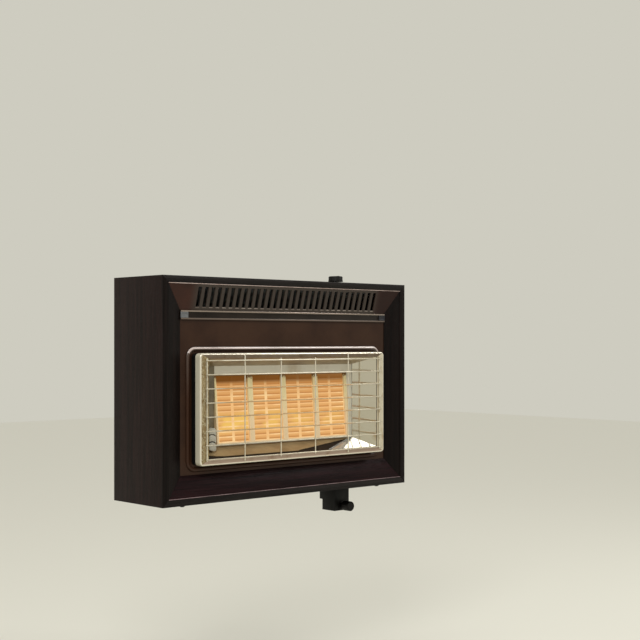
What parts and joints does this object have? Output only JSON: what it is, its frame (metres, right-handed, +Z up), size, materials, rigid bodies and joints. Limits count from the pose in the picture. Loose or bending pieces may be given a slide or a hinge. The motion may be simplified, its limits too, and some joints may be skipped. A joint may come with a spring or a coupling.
{
  "type": "wall mounted gas heater",
  "caption": "Wall mounted radiant gas heater: dark wooden case, brown front panel, tilted ceramic burner in a splayed reflector behind a wire guard, knob on top.",
  "frame": {"origin": "centre of the case's back, in the plane of the wall", "axes": "+X right along the wall, +Y into the wall, +Z up"},
  "size_m": [0.67, 0.1885, 0.5266],
  "materials": {
    "wenge_veneer": "very dark open-grained veneer, satin lacquer",
    "stained_moulding": "very dark stained moulding, satin",
    "brown_enamel": "brown satin stove enamel",
    "trim_metal": "brown satin with bright edges",
    "grey_plastic": "grey, satin",
    "galvanised_steel": "galvanised sheet",
    "black_paint": "black, fine satin",
    "rim_steel": "light champagne satin",
    "polished_reflector": "polished",
    "guard_wire": "bright plated wire, slightly warm",
    "burner_steel": "aluminised sheet, heat tinted",
    "glowing_ceramic": "pale ceramic glowing orange",
    "ceramic_fibre": "white ceramic fibre",
    "brass": "machined",
    "copper": "drawn copper tube",
    "plain_steel": "bright drawn steel",
    "black_plastic": "black moulded, fine grain",
    "lead_sleeve": "silicone sleeve",
    "white_ceramic": "glazed insulator"
  },
  "bodies": {
    "heater": {"case_left_side": "wenge_veneer", "case_right_side": "wenge_veneer", "case_top": "wenge_veneer", "case_bottom": "wenge_veneer", "back_plate": "galvanised_steel", "corner_brackets": "galvanised_steel", "bevel_left": "stained_moulding", "bevel_right": "stained_moulding", "bevel_bottom": "stained_moulding", "outlet_grille": "brown_enamel", "heat_deflector": "galvanised_steel", "trim_bar": "trim_metal", "trim_bar_ends": "grey_plastic", "front_panel": "brown_enamel", "case_screws": "black_paint", "firebox_rim": "rim_steel", "firebox_neck": "black_paint", "reflector_left": "polished_reflector", "reflector_right": "polished_reflector", "reflector_top": "polished_reflector", "reflector_bottom": "polished_reflector", "reflector_back": "polished_reflector", "guard_uprights": "guard_wire", "guard_hooks": "guard_wire", "guard_cross_wires": "guard_wire", "burner_cover_frame": "burner_steel", "plaque_1": "glowing_ceramic", "plaque_2": "glowing_ceramic", "plaque_3": "glowing_ceramic", "plaque_4": "glowing_ceramic", "plaque_gaskets": "ceramic_fibre", "burner_plenum": "burner_steel", "burner_brackets": "galvanised_steel", "mixing_tubes": "burner_steel", "injectors": "brass", "gas_manifold": "brass", "supply_tube": "copper", "gas_tap": "brass", "tap_cap": "brass", "return_spring": "plain_steel", "spindle_bush": "black_plastic", "valve_box": "black_paint", "inlet_union": "brass", "igniter_body": "black_plastic", "ignition_lead": "lead_sleeve", "pilot_bracket": "burner_steel", "pilot_burner": "burner_steel", "pilot_tube": "copper", "spark_electrode": "white_ceramic", "thermocouple": "copper"},
    "tap_push": {"push_collar": "plain_steel"},
    "control": {"control_spindle": "plain_steel", "control_knob": "black_plastic"},
    "ignition_button": {"igniter_button": "black_plastic"}
  },
  "joints": [
    {"name": "knob_push", "type": "slide", "parent": "heater", "child": "tap_push", "axis": [0, 0, -1], "range_m": [0, 0.004], "stiffness_N_per_m": 600, "springref_m": -0.006, "deforming": ["return_spring"]},
    {"name": "knob_turn", "type": "hinge", "parent": "tap_push", "child": "control", "pos_m": [0.199, -0.085, 0.23], "axis": [0, 0, 1], "range_deg": [0, 160]},
    {"name": "igniter_press", "type": "slide", "parent": "heater", "child": "ignition_button", "axis": [0, 1, 0], "range_m": [0, 0.008], "stiffness_N_per_m": 400, "springref_m": -0.003}
  ]
}
